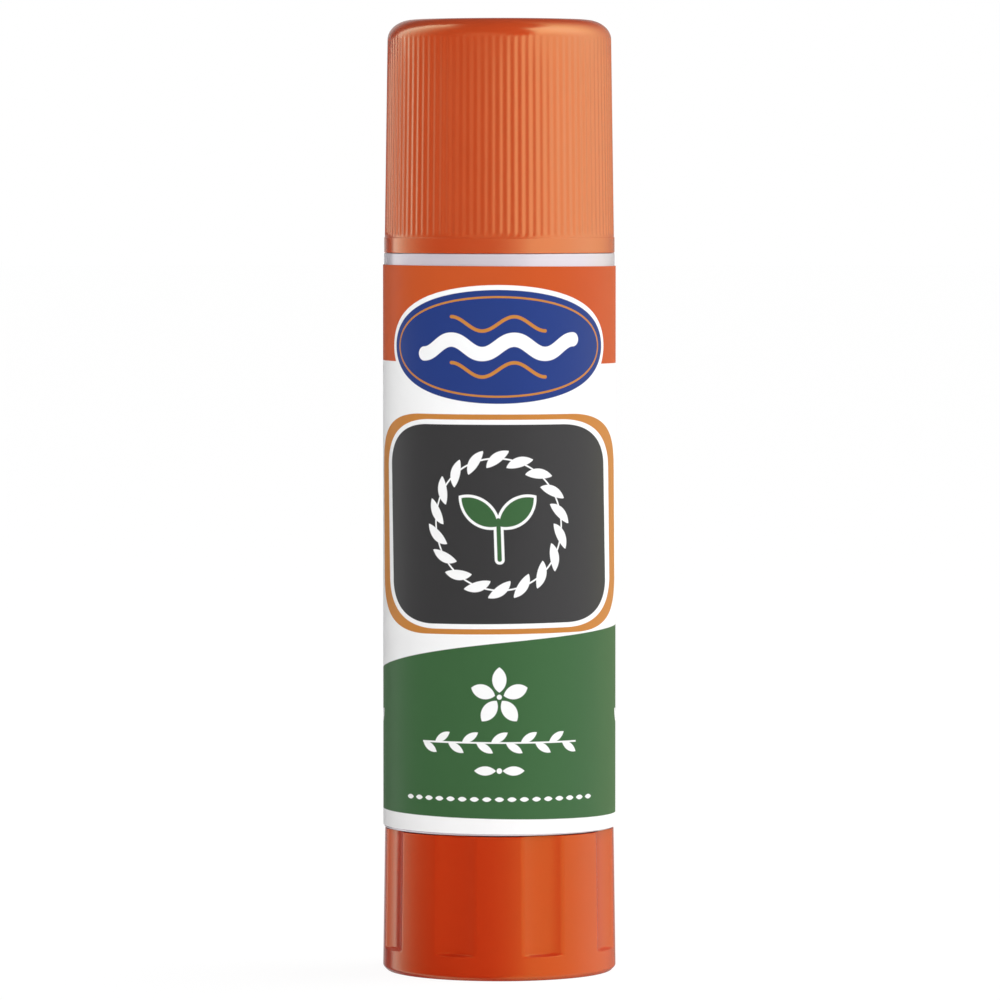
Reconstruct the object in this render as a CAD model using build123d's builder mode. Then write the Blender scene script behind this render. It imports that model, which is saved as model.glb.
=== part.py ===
"""Twist-up glue stick, standing on its knob. Millimetres, +Z up, origin at the centre of the foot."""

import math
import os

from build123d import *

# The tube's outside, which the knob and the cap follow by small steps
barrel_radius = 10.18
barrel_wall = 2.68
knob_foot_flare = 0.13
knob_top_inset = 0.06
cap_skirt_inset = 0.01

# Outside sizes of the knob
knob_height = 12.5
knob_foot_chamfer = 0.4
flute_count = 8
flute_width = 3.7
flute_depth = 0.4
flute_ledge_height = 2.3

# Inside sizes of the knob
knob_wall = 1.3
knob_floor_thickness = 1.2
knob_recess_depth = 0.6
knob_rim_width = 1.5
knob_hub_radius = 3.4
knob_web_count = 4
knob_web_thickness = 0.8
knob_web_height = 6.0
knob_web_gap = 0.5

# Barrel and neck
knob_gap = 0.25
barrel_body_length = 50.65
barrel_edge_round = 0.2
mouth_chamfer = 0.3
floor_rise = 0.85
floor_thickness = 1.4
spigot_clearance = 0.15
spigot_wall = 1.2
spigot_floor_gap = 0.4
spigot_bead_rise = 2.4
spigot_bead_height = 0.35
spigot_bead_length = 1.0
snap_groove_clearance = 0.12
neck_clearance = 0.12
neck_bead_rise = 2.2
neck_bead_height = 0.08
neck_bead_length = 0.9
key_count = 4
key_width = 1.2
key_depth = 0.4
key_mouth_gap = 1.0

# Label film
label_thickness = 0.1
label_foot_margin = 0.15
label_head_margin = 1.0
label_lap_length = 4.0
label_lap_ramp = 1.0

# Cap
cap_gap = 0.1
cap_height = 20.5
cap_skirt_height = 1.36
cap_skirt_step = 0.05
cap_draft = 0.28
cap_wall = 1.1
cap_roof_thickness = 1.3
cap_top_round = 1.9
cap_lead_in = 0.25
cap_mouth_gap = 0.8
cap_groove_depth = 0.12
rib_count = 96
rib_groove_depth = 0.16
rib_groove_radius = 0.25
rib_top_rise = 0.6
plug_clearance = 0.12
plug_wall = 0.8
plug_engagement = 0.8

# Spindle
journal_radius = 2.2
journal_clearance = 0.06
collar_radius = 3.6
collar_height = 1.2
collar_play = 0.05
shank_across_flats = 3.3
shank_clearance = 0.03
shank_end_gap = 0.3
shank_rise = 2.9
hub_floor_gap = 0.3
thread_lead = 4.0
thread_core_radius = 1.9
thread_crest_radius = 2.7
thread_root_width = 1.6
thread_crest_width = 0.8
thread_root_overlap = 0.3
thread_run_out = 1.8
spindle_tip_height = 0.8
spindle_glue_cover = 7.3

# Carriage
carriage_clearance = 0.15
carriage_collar_gap = 0.5
carriage_wall = 0.9
carriage_plate_thickness = 1.2
nut_radius = 4.3
nut_length = 9.0
nut_clearance = 0.2
carriage_skirt_length = 7.5
cup_height = 5.5
carriage_web_thickness = 0.8
carriage_web_height = 5.5
anchor_fin_height = 2.5
anchor_fin_gap = 0.6

# Glue
glue_clearance = 0.1
glue_cup_clearance = 0.05
glue_plug_gap = 0.4
glue_top_round = 0.6
glue_hole_clearance = 0.25
glue_hole_headroom = 0.6

# How far cutters and buried ends run past the faces that they cross
overrun = 1.0

# Heights, from the foot upwards
knob_floor_z = knob_recess_depth + knob_floor_thickness
spigot_bottom_z = knob_floor_z + spigot_floor_gap
barrel_foot_z = knob_height + knob_gap
floor_bottom_z = barrel_foot_z + floor_rise
floor_top_z = floor_bottom_z + floor_thickness
hub_top_z = floor_bottom_z - hub_floor_gap
shank_bottom_z = knob_floor_z + shank_rise
collar_bottom_z = floor_top_z + collar_play
collar_top_z = collar_bottom_z + collar_height
seat_z = barrel_foot_z + barrel_body_length
cap_bottom_z = seat_z + cap_gap
cap_top_z = cap_bottom_z + cap_height
cap_roof_z = cap_top_z - cap_roof_thickness
mouth_z = cap_roof_z - cap_mouth_gap
plug_bottom_z = mouth_z - plug_engagement
glue_top_z = plug_bottom_z - glue_plug_gap
spindle_top_z = glue_top_z - spindle_glue_cover
nut_bottom_z = collar_top_z + carriage_collar_gap
plate_bottom_z = nut_bottom_z + nut_length
plate_top_z = plate_bottom_z + carriage_plate_thickness
cup_top_z = plate_top_z + cup_height

# Radii that follow from the tube's outside and from the pieces they meet
bore_radius = barrel_radius - barrel_wall
knob_foot_radius = barrel_radius + knob_foot_flare
knob_top_radius = barrel_radius - knob_top_inset
cap_skirt_radius = barrel_radius - cap_skirt_inset
knob_bore_radius = knob_top_radius - knob_wall
spigot_radius = knob_bore_radius - spigot_clearance
spigot_bead_radius = spigot_radius + spigot_bead_height
cap_bore_radius = cap_skirt_radius - cap_wall
neck_radius = cap_bore_radius - neck_clearance
plug_radius = bore_radius - plug_clearance
label_radius = barrel_radius + label_thickness
carriage_radius = bore_radius - carriage_clearance
cup_radius = carriage_radius - carriage_wall
key_inner_radius = bore_radius - key_depth
nut_bore_radius = thread_crest_radius + nut_clearance
nut_crest_radius = thread_core_radius + nut_clearance
fin_inner_radius = nut_bore_radius + anchor_fin_gap
fin_outer_radius = cup_radius - anchor_fin_gap

os.makedirs("parts", exist_ok=True)


def leaning_groove(cutter_radius, low_radius, low_z, high_radius, high_z):
    """A round bar whose axis runs from one radius and height to another, in the XZ plane."""
    low_point = Vector(low_radius, 0, low_z)
    high_point = Vector(high_radius, 0, high_z)
    direction = high_point - low_point
    with BuildPart() as bar:
        with BuildSketch(Plane(origin=low_point, x_dir=(0, 1, 0), z_dir=direction)):
            Circle(cutter_radius)
        extrude(amount=direction.length)
    return bar.part


def radial_plates(count, inner_radius, outer_radius, thickness, low_z, high_z, turn=0):
    """Upright plates that stand radially round the axis, evenly spaced from the angle given."""
    with BuildPart() as plates:
        with BuildSketch(Plane.XY.offset(low_z)):
            with PolarLocations((inner_radius + outer_radius) / 2, count, start_angle=turn):
                Rectangle(outer_radius - inner_radius, thickness)
        extrude(amount=high_z - low_z)
    return plates.part


def left_hand_ridge(start_z, turns, root_radius, root_width, crest_radius, crest_width):
    """A ridge of trapezoid section that climbs round the axis, clockwise seen from above."""
    with BuildPart() as ridge:
        with BuildLine() as route:
            Helix(
                pitch=thread_lead,
                height=turns * thread_lead,
                radius=root_radius,
                center=(0, 0, start_z),
                lefthand=True,
            )
        with BuildSketch(Plane.XZ):
            with BuildLine():
                Polyline(
                    (root_radius, start_z - root_width / 2),
                    (crest_radius, start_z - crest_width / 2),
                    (crest_radius, start_z + crest_width / 2),
                    (root_radius, start_z + root_width / 2),
                    close=True,
                )
            make_face()
        sweep(path=route.line, is_frenet=True)
    return ridge.part


def thread_width(radius):
    """The spindle thread's width at a radius; its two flanks lean in evenly towards the crest."""
    taper = (thread_root_width - thread_crest_width) / (thread_crest_radius - thread_core_radius)
    return thread_root_width - taper * (radius - thread_core_radius)


# Knob: a cup with a hub for the spindle, webs round the hub, and finger flutes outside
bead_low_z = spigot_bottom_z + spigot_bead_rise
bead_high_z = bead_low_z + spigot_bead_length + 2 * spigot_bead_height
groove_radius = spigot_bead_radius + snap_groove_clearance
groove_flare = groove_radius - knob_bore_radius
knob_flank_slope = (knob_top_radius - knob_foot_radius) / knob_height
flute_half_width = flute_width / 2
flute_bite = flute_depth - (
    knob_top_radius - math.sqrt(knob_top_radius**2 - flute_half_width**2)
)
flute_radius = (flute_half_width**2 + flute_bite**2) / (2 * flute_bite)
flute_offset = flute_radius - flute_depth
flute_top_z = knob_height + overrun
flute = leaning_groove(
    flute_radius,
    knob_foot_radius + knob_flank_slope * flute_ledge_height + flute_offset,
    flute_ledge_height,
    knob_foot_radius + knob_flank_slope * flute_top_z + flute_offset,
    flute_top_z,
)
hub_webs = radial_plates(
    knob_web_count,
    knob_hub_radius - knob_web_gap,
    spigot_radius - spigot_wall - knob_web_gap,
    knob_web_thickness,
    knob_floor_z - knob_floor_thickness / 2,
    knob_floor_z + knob_web_height,
)
with BuildPart() as knob:
    with BuildSketch(Plane.XZ):
        with BuildLine():
            Polyline(
                (0, knob_recess_depth),
                (knob_foot_radius - knob_foot_chamfer - knob_rim_width, knob_recess_depth),
                (knob_foot_radius - knob_foot_chamfer - knob_rim_width, 0),
                (knob_foot_radius - knob_foot_chamfer, 0),
                (knob_foot_radius, knob_foot_chamfer),
                (knob_top_radius, knob_height),
                (knob_bore_radius, knob_height),
                (knob_bore_radius, bead_high_z + snap_groove_clearance),
                (groove_radius, bead_high_z + snap_groove_clearance - groove_flare),
                (groove_radius, bead_low_z - snap_groove_clearance + groove_flare),
                (knob_bore_radius, bead_low_z - snap_groove_clearance),
                (knob_bore_radius, knob_floor_z),
                (knob_hub_radius, knob_floor_z),
                (knob_hub_radius, hub_top_z),
                (0, hub_top_z),
                close=True,
            )
        make_face()
    revolve(axis=Axis.Z)
    add(hub_webs)
    with PolarLocations(0, flute_count, start_angle=180 / flute_count):
        add(flute, mode=Mode.SUBTRACT)
    with BuildSketch(Plane.XY.offset(hub_top_z)):
        RegularPolygon(
            shank_across_flats / 2 + shank_clearance, side_count=6, major_radius=False
        )
    extrude(amount=-(hub_top_z - shank_bottom_z + shank_end_gap), mode=Mode.SUBTRACT)
knob.part.label = "knob"

# Barrel: tube with a neck for the cap, a floor for the spindle and a spigot in the knob
neck_bead_low_z = seat_z + neck_bead_rise
neck_bead_high_z = neck_bead_low_z + neck_bead_length
neck_bead_radius = neck_radius + neck_bead_height
barrel_keys = radial_plates(
    key_count,
    key_inner_radius,
    bore_radius + key_depth,
    key_width,
    floor_top_z - floor_thickness / 2,
    mouth_z - key_mouth_gap,
)
with BuildPart() as barrel:
    with BuildSketch(Plane.XZ):
        with BuildLine():
            Polyline(
                (spigot_radius - spigot_wall, spigot_bottom_z),
                (spigot_radius - spigot_bead_height, spigot_bottom_z),
                (spigot_radius, spigot_bottom_z + spigot_bead_height),
                (spigot_radius, bead_low_z),
                (spigot_bead_radius, bead_low_z + spigot_bead_height),
                (spigot_bead_radius, bead_high_z - spigot_bead_height),
                (spigot_radius, bead_high_z),
                (spigot_radius, barrel_foot_z),
                (barrel_radius, barrel_foot_z),
                (barrel_radius, seat_z),
                (neck_radius, seat_z),
                (neck_radius, neck_bead_low_z),
                (neck_bead_radius, neck_bead_low_z + neck_bead_height),
                (neck_bead_radius, neck_bead_high_z - neck_bead_height),
                (neck_radius, neck_bead_high_z),
                (neck_radius, mouth_z - mouth_chamfer),
                (neck_radius - mouth_chamfer, mouth_z),
                (bore_radius + mouth_chamfer, mouth_z),
                (bore_radius, mouth_z - mouth_chamfer),
                (bore_radius, floor_top_z),
                (journal_radius + journal_clearance, floor_top_z),
                (journal_radius + journal_clearance, floor_bottom_z),
                (spigot_radius - spigot_wall, floor_bottom_z),
                close=True,
            )
        make_face()
    revolve(axis=Axis.Z)
    outer_rims = barrel.edges().filter_by(GeomType.CIRCLE).sort_by(lambda rim: rim.radius)[-2:]
    fillet(outer_rims, barrel_edge_round)
    add(barrel_keys)
barrel.part.label = "barrel"

# Label: one turn of film, with its outer end lapped over the seam at the back
label_bottom_z = barrel_foot_z + label_foot_margin
label_top_z = seat_z - label_head_margin
lap_radius = label_radius + label_thickness
lap_turn = math.degrees(label_lap_length / label_radius)
ramp_turn = math.degrees(label_lap_ramp / label_radius)
lap_start = 90 - lap_turn / 2
with BuildPart() as label:
    with BuildSketch(Plane.XY.offset(label_bottom_z)):
        Circle(label_radius)
        with BuildLine():
            lap_arc = CenterArc((0, 0), lap_radius, lap_start, lap_turn)
            Line(lap_arc @ 0, (0, 0))
            ramp_end = PolarLine((0, 0), label_radius, lap_start + lap_turn + ramp_turn)
            Line(ramp_end @ 1, lap_arc @ 1)
        make_face()
        Circle(barrel_radius, mode=Mode.SUBTRACT)
    extrude(amount=label_top_z - label_bottom_z)
label.part.label = "label"

# Cap: ribbed shell with a smooth skirt band, and a plug ring that closes the mouth
skirt_top_z = cap_bottom_z + cap_skirt_height
rib_low_radius = cap_skirt_radius - cap_skirt_step
rib_high_radius = rib_low_radius - cap_draft
cap_groove_low_z = neck_bead_low_z - cap_groove_depth
cap_groove_high_z = neck_bead_high_z + cap_groove_depth
cap_flank_slope = (rib_high_radius - rib_low_radius) / (cap_top_z - skirt_top_z)
rib_offset = rib_groove_radius - rib_groove_depth
rib_top_z = cap_top_z - cap_top_round + rib_top_rise
rib_groove = leaning_groove(
    rib_groove_radius,
    rib_low_radius + rib_offset,
    skirt_top_z,
    rib_low_radius + cap_flank_slope * (rib_top_z - skirt_top_z) + rib_offset,
    rib_top_z,
)
with BuildPart() as cap:
    with BuildSketch(Plane.XZ):
        with BuildLine():
            Polyline(
                (cap_bore_radius + cap_lead_in, cap_bottom_z),
                (cap_skirt_radius, cap_bottom_z),
                (cap_skirt_radius, skirt_top_z),
                (rib_low_radius, skirt_top_z),
                (rib_high_radius, cap_top_z),
                (0, cap_top_z),
                (0, cap_roof_z),
                (plug_radius - plug_wall, cap_roof_z),
                (plug_radius - plug_wall, plug_bottom_z),
                (plug_radius, plug_bottom_z),
                (plug_radius, cap_roof_z),
                (cap_bore_radius, cap_roof_z),
                (cap_bore_radius, cap_groove_high_z),
                (cap_bore_radius + cap_groove_depth, cap_groove_high_z - cap_groove_depth),
                (cap_bore_radius + cap_groove_depth, cap_groove_low_z + cap_groove_depth),
                (cap_bore_radius, cap_groove_low_z),
                (cap_bore_radius, cap_bottom_z + cap_lead_in),
                close=True,
            )
        make_face()
    revolve(axis=Axis.Z)
    fillet(cap.edges().group_by(Axis.Z)[-1], cap_top_round)
    with PolarLocations(0, rib_count, start_angle=180 / rib_count):
        add(rib_groove, mode=Mode.SUBTRACT)
cap.part.label = "cap"

# Spindle: hexagon shank in the knob, journal in the floor, collar on the floor, long thread
thread_start_z = nut_bottom_z
thread_turns = (spindle_top_z - thread_run_out - thread_start_z) / thread_lead
thread_buried_radius = thread_core_radius - thread_root_overlap
spindle_thread = left_hand_ridge(
    thread_start_z,
    thread_turns,
    thread_buried_radius,
    thread_width(thread_buried_radius),
    thread_crest_radius,
    thread_crest_width,
)
with BuildPart() as spindle:
    with BuildSketch(Plane.XZ):
        with BuildLine():
            Polyline(
                (0, hub_top_z),
                (journal_radius, hub_top_z),
                (journal_radius, collar_bottom_z),
                (collar_radius, collar_bottom_z),
                (collar_radius, collar_top_z),
                (thread_core_radius, collar_top_z),
                (thread_core_radius, spindle_top_z - spindle_tip_height),
                (thread_core_radius - spindle_tip_height, spindle_top_z),
                (0, spindle_top_z),
                close=True,
            )
        make_face()
    revolve(axis=Axis.Z)
    add(spindle_thread)
    with BuildSketch(Plane.XY.offset(shank_bottom_z)):
        RegularPolygon(shank_across_flats / 2, side_count=6, major_radius=False)
    extrude(amount=hub_top_z - shank_bottom_z)
spindle.part.label = "spindle"

# Carriage: cup and skirt joined by a plate, with a threaded nut under it
notch_width = key_width + 2 * carriage_clearance
notch_radius = key_inner_radius - carriage_clearance
carriage_notches = radial_plates(
    key_count,
    notch_radius,
    carriage_radius + overrun,
    notch_width,
    plate_bottom_z - carriage_skirt_length - overrun,
    cup_top_z + overrun,
)
carriage_webs = radial_plates(
    key_count,
    nut_radius - carriage_wall / 2,
    cup_radius + carriage_wall / 2,
    carriage_web_thickness,
    plate_bottom_z - carriage_web_height,
    plate_bottom_z + carriage_plate_thickness / 2,
    turn=180 / key_count,
)
anchor_fins = radial_plates(
    key_count,
    fin_inner_radius,
    fin_outer_radius,
    carriage_web_thickness,
    plate_top_z - carriage_plate_thickness / 2,
    plate_top_z + anchor_fin_height,
    turn=180 / key_count,
)
nut_buried_radius = nut_bore_radius + thread_root_overlap
nut_thread_start_z = thread_start_z + thread_lead / 2
nut_thread_turns = (nut_length + carriage_plate_thickness) / thread_lead - 1
nut_thread = left_hand_ridge(
    nut_thread_start_z,
    nut_thread_turns,
    nut_buried_radius,
    thread_lead - 2 * nut_clearance - thread_width(nut_buried_radius),
    nut_crest_radius,
    thread_lead - 2 * nut_clearance - thread_width(nut_crest_radius),
)
with BuildPart() as carriage:
    with BuildSketch(Plane.XZ):
        with BuildLine():
            Polyline(
                (nut_bore_radius, nut_bottom_z),
                (nut_radius, nut_bottom_z),
                (nut_radius, plate_bottom_z),
                (cup_radius, plate_bottom_z),
                (cup_radius, plate_bottom_z - carriage_skirt_length),
                (carriage_radius, plate_bottom_z - carriage_skirt_length),
                (carriage_radius, cup_top_z),
                (cup_radius, cup_top_z),
                (cup_radius, plate_top_z),
                (nut_bore_radius, plate_top_z),
                close=True,
            )
        make_face()
    revolve(axis=Axis.Z)
    add(carriage_webs)
    add(anchor_fins)
    add(carriage_notches, mode=Mode.SUBTRACT)
    add(nut_thread)
carriage.part.label = "carriage"

# Glue: cast stick that fills the cup and the bore, with a blind hole for the spindle
glue_radius = bore_radius - glue_clearance
glue_foot_radius = cup_radius - glue_cup_clearance
glue_hole_radius = thread_crest_radius + glue_hole_clearance
glue_hole_top_z = spindle_top_z + glue_hole_headroom
glue_foot_z = plate_top_z + glue_cup_clearance
glue_step_z = cup_top_z + glue_cup_clearance
glue_grooves = radial_plates(
    key_count,
    key_inner_radius - glue_clearance,
    glue_radius + overrun,
    key_width + 2 * glue_clearance,
    glue_step_z - overrun,
    glue_top_z + overrun,
)
fin_slots = radial_plates(
    key_count,
    fin_inner_radius - glue_cup_clearance,
    fin_outer_radius + glue_cup_clearance,
    carriage_web_thickness + 2 * glue_cup_clearance,
    glue_foot_z - overrun,
    plate_top_z + anchor_fin_height + glue_cup_clearance,
    turn=180 / key_count,
)
with BuildPart() as glue:
    with BuildSketch(Plane.XZ):
        with BuildLine():
            Polyline(
                (glue_hole_radius, glue_foot_z),
                (glue_foot_radius, glue_foot_z),
                (glue_foot_radius, glue_step_z),
                (glue_radius, glue_step_z),
                (glue_radius, glue_top_z),
                (0, glue_top_z),
                (0, glue_hole_top_z),
                (glue_hole_radius, glue_hole_top_z),
                close=True,
            )
        make_face()
    revolve(axis=Axis.Z)
    fillet(glue.edges().group_by(Axis.Z)[-1], glue_top_round)
    add(glue_grooves, mode=Mode.SUBTRACT)
    add(fin_slots, mode=Mode.SUBTRACT)
glue.part.label = "glue"

for piece in (knob, barrel, label, cap, spindle, carriage, glue):
    export_step(piece.part, f"parts/{piece.part.label}.step")
    print(piece.part.label, round(piece.part.volume), "mm3")
print("glue can rise", round(mouth_z - cup_top_z, 2), "mm; overall height", round(cap_top_z, 2), "mm")
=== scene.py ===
# %% [markdown]
# # A glue stick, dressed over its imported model
#
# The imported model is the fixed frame: it knows where every piece is and how large it is. The
# pieces that show are made again here as surfaces worked out with numpy, fine enough for their
# ribs, flutes and small edge rounds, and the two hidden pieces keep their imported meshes. All
# lengths are in metres, with the stick standing on its knob at the origin and its front
# towards -Y.

# %% The frame
import math

import bpy
import numpy as np
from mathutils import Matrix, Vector


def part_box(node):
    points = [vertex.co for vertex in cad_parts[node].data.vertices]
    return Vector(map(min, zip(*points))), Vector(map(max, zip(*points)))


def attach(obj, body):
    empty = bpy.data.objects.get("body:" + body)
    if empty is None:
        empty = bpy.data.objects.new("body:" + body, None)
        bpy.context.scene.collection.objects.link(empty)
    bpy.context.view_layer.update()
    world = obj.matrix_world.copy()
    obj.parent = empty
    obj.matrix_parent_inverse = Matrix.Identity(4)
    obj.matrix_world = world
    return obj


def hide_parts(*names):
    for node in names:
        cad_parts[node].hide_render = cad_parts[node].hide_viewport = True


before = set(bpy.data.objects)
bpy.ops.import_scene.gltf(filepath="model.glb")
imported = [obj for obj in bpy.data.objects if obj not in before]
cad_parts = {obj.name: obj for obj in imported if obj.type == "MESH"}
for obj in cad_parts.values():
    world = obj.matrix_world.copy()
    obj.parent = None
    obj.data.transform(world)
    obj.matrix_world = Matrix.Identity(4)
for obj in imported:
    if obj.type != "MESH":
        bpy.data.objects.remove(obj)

bpy.context.view_layer.update()

# %% [markdown]
# ## Sizes that come from the frame
#
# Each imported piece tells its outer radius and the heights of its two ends. Everything that the
# surfaces below share with a neighbour starts from these, so a piece can't drift off its seat.

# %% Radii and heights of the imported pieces
MM = 0.001


def reach(node):
    """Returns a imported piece's outer radius, its lowest height and its highest height."""
    low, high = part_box(node)
    return high.x, low.z, high.z


knob_radius, knob_foot_z, knob_hub_z = reach("knob")
cap_radius, cap_low_z, cap_top_z = reach("cap")
label_radius, label_low_z, label_top_z = reach("label")
barrel_radius, spigot_low_z, mouth_z = reach("barrel")
glue_radius, glue_low_z, glue_top_z = reach("glue")
radii = {"knob": knob_radius, "cap": cap_radius, "label": label_radius, "barrel": barrel_radius}
print("radii in mm:", {name: round(radius / MM, 2) for name, radius in radii.items()})

# %% [markdown]
# ## A skin from a grid of points
#
# Almost every piece here is turned: an outline of radius and height, carried once round the
# axis. Blender could do that with a Screw modifier, but the ribs and flutes need the radius to
# change with the angle too. So a piece is a grid of points, one row for each point of the
# outline and one column for each angle, and numpy fills the whole grid at once.
#
# An outline with hard corners looks like paper under a soft light. Each corner is therefore
# given a small arc, and one more point just past the arc keeps the smooth shading of the flat
# stretch beside it flat.

# %% Outlines with rounded corners
ARC_STEPS = 5
HOLD = 0.07 * MM


def rounded(corners, closed=False, steps=ARC_STEPS):
    """Replaces each (radius, height, rounding) corner by an arc that touches both its sides.

    The arc starts and ends at rounding * tan(half the turn) from the corner, and its points
    are an even slerp from the first spoke of its circle to the last one.
    """
    corners = np.asarray(corners, float)
    place, rounding = corners[:, :2], corners[:, 2]
    toward, onward = place - np.roll(place, 1, 0), np.roll(place, -1, 0) - place
    before, after = np.hypot(*toward.T), np.hypot(*onward.T)
    toward, onward = toward / before[:, None], onward / after[:, None]
    turn = np.arccos(np.clip((toward * onward).sum(1), -1, 1))
    tangent = rounding * np.tan(turn / 2)
    outline = []
    for i in range(len(corners)):
        is_end = not closed and i in (0, len(corners) - 1)
        if is_end or rounding[i] == 0 or turn[i] < 0.01:
            outline.append(place[i : i + 1])
            continue
        first, last = place[i] - toward[i] * tangent[i], place[i] + onward[i] * tangent[i]
        inward = onward[i] - toward[i]
        centre = place[i] + inward / np.hypot(*inward) * rounding[i] / math.cos(turn[i] / 2)
        share = np.linspace(0, 1, steps)[:, None]
        from_first, from_last = np.sin((1 - share) * turn[i]), np.sin(share * turn[i])
        spokes = from_first * (first - centre) + from_last * (last - centre)
        hold_before = min(HOLD, (before[i] - tangent[i] - tangent[i - 1]) / 3)
        hold_after = min(HOLD, (after[i] - tangent[i] - tangent[(i + 1) % len(corners)]) / 3)
        outline += [
            first[None] - toward[i] * hold_before,
            centre + spokes / math.sin(turn[i]),
            last[None] + onward[i] * hold_after,
        ]
    return np.concatenate(outline)


def even_angles(count):
    """Angles round the axis, evenly spaced, without the last one that would repeat the first."""
    return np.linspace(0, 2 * np.pi, count, endpoint=False)


def turned(radius, height, angles):
    """Grid of points: x and y are the radius times the angle's cosine and sine."""
    radius, height = np.broadcast_arrays(radius, height[:, None])
    return np.stack([radius * np.cos(angles), radius * np.sin(angles), height], 2)


def smooth_step(value, start, end):
    """0 before start, 1 after end, and 3t^2 - 2t^3 in between."""
    share = np.clip((value - start) / (end - start), 0, 1)
    return share * share * (3 - 2 * share)


def smooth_min(a, b, width):
    """The lower of two surfaces, with the edge where they cross rounded over a width."""
    overlap = np.clip(width - np.abs(a - b), 0, None) / width
    return np.minimum(a, b) - overlap * overlap * width / 4


# %% Meshes from grids
def skin(name, grid, ring=False):
    """Makes an object of one grid, or of a stack of them, whose columns close on themselves.

    With ring, the last row closes on the first. Without it, the first and the last row are
    each drawn together in one point. Faces point outwards where the rows run down the outside
    of the piece.
    """
    grids = grid.reshape(-1, *grid.shape[-3:])
    index = np.arange(grids[..., 0].size).reshape(grids.shape[:3])
    if ring:
        index = np.concatenate([index, index[:, :1]], 1)
    else:
        index[:, 0], index[:, -1] = index[:, 0, :1], index[:, -1, :1]
    right = np.roll(index, -1, 2)
    quads = np.stack([index[:, :-1], index[:, 1:], right[:, 1:], right[:, :-1]], 3)
    triangles = np.empty((0, 3), int)
    if not ring:
        quads = quads[:, 1:-1]
        top = np.stack([index[:, 0], index[:, 1], right[:, 1]], 2)
        foot = np.stack([index[:, -2], index[:, -1], right[:, -2]], 2)
        triangles = np.concatenate([top, foot]).reshape(-1, 3)
    loops = np.concatenate([quads.ravel(), triangles.ravel()])
    sizes = np.repeat([4, 3], [quads.size // 4, len(triangles)])
    used, loops = np.unique(loops, return_inverse=True)
    mesh = bpy.data.meshes.new(name)
    mesh.vertices.add(len(used))
    mesh.vertices.foreach_set("co", grid.reshape(-1, 3)[used].astype(np.float32).ravel())
    mesh.loops.add(len(loops))
    mesh.loops.foreach_set("vertex_index", loops.astype(np.int32).ravel())
    mesh.polygons.add(len(sizes))
    mesh.polygons.foreach_set("loop_start", (np.cumsum(sizes) - sizes).astype(np.int32))
    mesh.polygons.foreach_set("use_smooth", np.ones(len(sizes), bool))
    mesh.update(calc_edges=True)
    mesh.validate()
    made = bpy.data.objects.new(name, mesh)
    bpy.context.scene.collection.objects.link(made)
    return made


def measure(piece, node):
    """Prints a piece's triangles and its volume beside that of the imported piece."""
    volumes = []
    for mesh in (piece.data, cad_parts[node].data):
        mesh.calc_loop_triangles()
        corners = np.empty(len(mesh.loop_triangles) * 3, np.int32)
        mesh.loop_triangles.foreach_get("vertices", corners)
        points = np.empty(len(mesh.vertices) * 3)
        mesh.vertices.foreach_get("co", points)
        a, b, c = points.reshape(-1, 3)[corners].reshape(-1, 3, 3).transpose(1, 0, 2) / MM
        volumes.append((a * np.cross(b, c)).sum() / 6)
    made, packed = volumes
    count = len(piece.data.loop_triangles)
    print(f"{piece.name}: {count} triangles, {made:.0f} mm3, packed {packed:.0f} mm3")


# %% [markdown]
# ## Cap
#
# The cap is a push-on moulding: a plain band at the mouth, fine upright ribs above it, and a
# wide soft shoulder round a flat top. The ribs are shallow and flow into the grooves between
# them, so each one catches a thin upright line of light. Their radius is the crest's less
# depth * (1 - cos(pi s)) / 2, where s runs from -1 to 1 across a rib. At both ends the depth
# fades, and the shoulder cuts the grooves off by itself.
#
# Inside are the bore, the shallow groove that snaps over the neck's bead, and the plug ring
# that closes the barrel's mouth and keeps the glue from drying.

# %% Cap: driving sizes
skirt_height = 1.36 * MM
skirt_step = 0.05 * MM
cap_draft = 0.28 * MM
cap_wall = 1.1 * MM
cap_roof = 1.3 * MM
shoulder_width = 2.25 * MM
shoulder_height = 1.75 * MM
rib_count = 96
rib_columns = 8
rib_depth = 0.066 * MM
rib_end = 0.5 * MM
rib_top_rise = 0.45 * MM
gate_radius = 0.9 * MM
gate_depth = 0.12 * MM
plug_clearance = 0.12 * MM
plug_wall = 0.8 * MM
plug_length = 1.6 * MM
cap_snap_depth = 0.12 * MM
cap_lead_in = 0.25 * MM
cap_seam = 0.03 * MM
neck_bead_rise = 2.2 * MM
neck_bead_length = 0.9 * MM
barrel_bore = 7.5 * MM

# %% Cap: surface
skirt_top_z = cap_low_z + skirt_height
rib_low_radius = cap_radius - skirt_step
flank_slope = cap_draft / (cap_top_z - skirt_top_z)
shoulder_z = cap_top_z - shoulder_height
shoulder_radius = rib_low_radius - flank_slope * (shoulder_z - skirt_top_z)
cap_bore = cap_radius - cap_wall
roof_z = cap_top_z - cap_roof
plug_radius = barrel_bore - plug_clearance

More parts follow.
